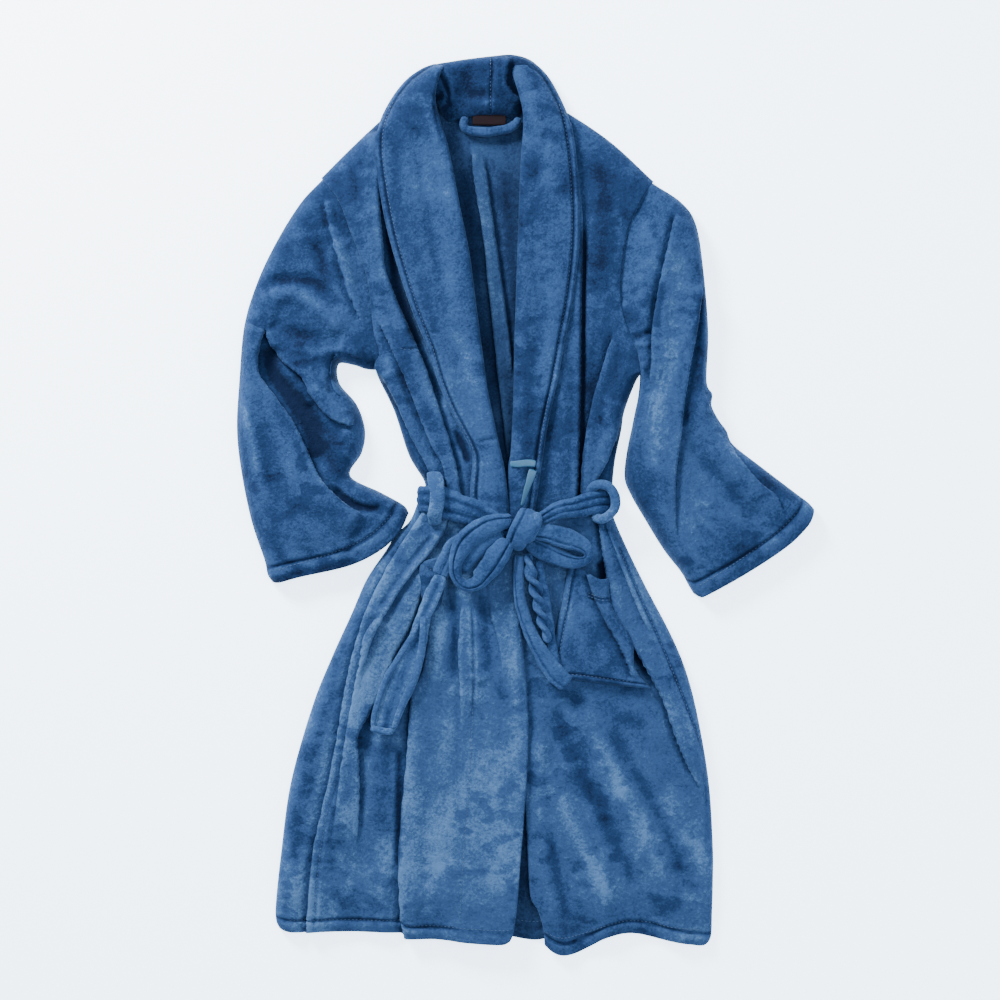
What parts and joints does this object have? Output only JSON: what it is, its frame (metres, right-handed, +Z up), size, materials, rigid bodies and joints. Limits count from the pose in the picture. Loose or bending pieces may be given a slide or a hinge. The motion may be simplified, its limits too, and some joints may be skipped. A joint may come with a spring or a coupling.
{
  "type": "bathrobe",
  "caption": "Knee-length plush bathrobe laid flat: shawl collar, three-quarter sleeves, patch pockets, tied sash in belt loops, hanger loop.",
  "frame": {"origin": "centre of the outline of the robe lying flat, on the surface it lies on", "axes": "+X to the wearer's left, +Y from the hem to the collar, +Z up from the surface, out of the robe's front"},
  "size_m": [0.7, 1.084, 0.054],
  "materials": {
    "plush": "brushed plush fleece, short pile with nap marks",
    "satin": "satin ribbon",
    "label": "woven label, blank"
  },
  "bodies": {
    "robe": {"back_hem_band": "plush", "back_panel": "plush", "collar_left": "plush", "collar_right": "plush", "inner_tie_root": "satin", "left_belt_loop": "plush", "left_bow_loop": "plush", "left_facing_upper": "plush", "left_front_panel": "plush", "left_hem_band": "plush", "left_lapel": "plush", "left_pocket": "plush", "left_pocket_hem": "plush", "neck_band": "plush", "neck_label": "label", "right_belt_loop": "plush", "right_bow_loop": "plush", "right_facing_upper": "plush", "right_front_panel": "plush", "right_hem_band": "plush", "right_lapel": "plush", "right_pocket": "plush", "right_pocket_hem": "plush", "right_tail_root": "plush", "sash_back": "plush", "sash_knot": "plush", "sash_left": "plush", "sash_right": "plush"},
    "right_sleeve": {"right_sleeve": "plush", "right_cuff": "plush"},
    "left_sleeve": {"left_sleeve": "plush", "left_cuff": "plush"},
    "hanger": {"hanger_loop": "plush"},
    "right_corner": {"right_facing_lower": "plush", "right_front_corner": "plush", "right_hem_corner": "plush"},
    "left_corner": {"left_facing_lower": "plush", "left_front_corner": "plush", "left_hem_corner": "plush"},
    "right_sash_tail": {"right_tail": "plush"},
    "left_sash_tail": {"left_tail": "plush"},
    "tie_end": {"inner_tie_end": "satin"}
  },
  "joints": [
    {"name": "right_sleeve_fold", "type": "hinge", "parent": "robe", "child": "right_sleeve", "pos_m": [-0.2423, 0.398, 0.035], "axis": [-0.2638, 0.9646, 0], "range_deg": [0, 120]},
    {"name": "left_sleeve_fold", "type": "hinge", "parent": "robe", "child": "left_sleeve", "pos_m": [0.1603, 0.392, 0.035], "axis": [-0.085, -0.9964, 0], "range_deg": [0, 120]},
    {"name": "hanger_loop_flip", "type": "hinge", "parent": "robe", "child": "hanger", "pos_m": [-0.0435, 0.466, 0.0104], "axis": [-1, 0, 0], "range_deg": [0, 100]},
    {"name": "right_corner_fold", "type": "hinge", "parent": "robe", "child": "right_corner", "pos_m": [-0.008, -0.18, 0.0254], "axis": [-0.3146, -0.9492, 0], "range_deg": [0, 150]},
    {"name": "left_corner_fold", "type": "hinge", "parent": "robe", "child": "left_corner", "pos_m": [0.006, -0.3, 0.0194], "axis": [-0.5021, 0.8648, 0], "range_deg": [0, 150]},
    {"name": "right_tail_lift", "type": "hinge", "parent": "robe", "child": "right_sash_tail", "pos_m": [-0.0976, -0.0791, 0.0412], "axis": [-0.9265, 0.3764, 0], "range_deg": [0, 90]},
    {"name": "left_tail_lift", "type": "hinge", "parent": "robe", "child": "left_sash_tail", "pos_m": [-0.003, -0.0558, 0.0414], "axis": [-0.9977, -0.0683, 0], "range_deg": [0, 90]},
    {"name": "tie_end_lift", "type": "hinge", "parent": "robe", "child": "tie_end", "pos_m": [0.009, 0.0437, 0.0317], "axis": [-1, 0, 0], "range_deg": [0, 100]}
  ]
}
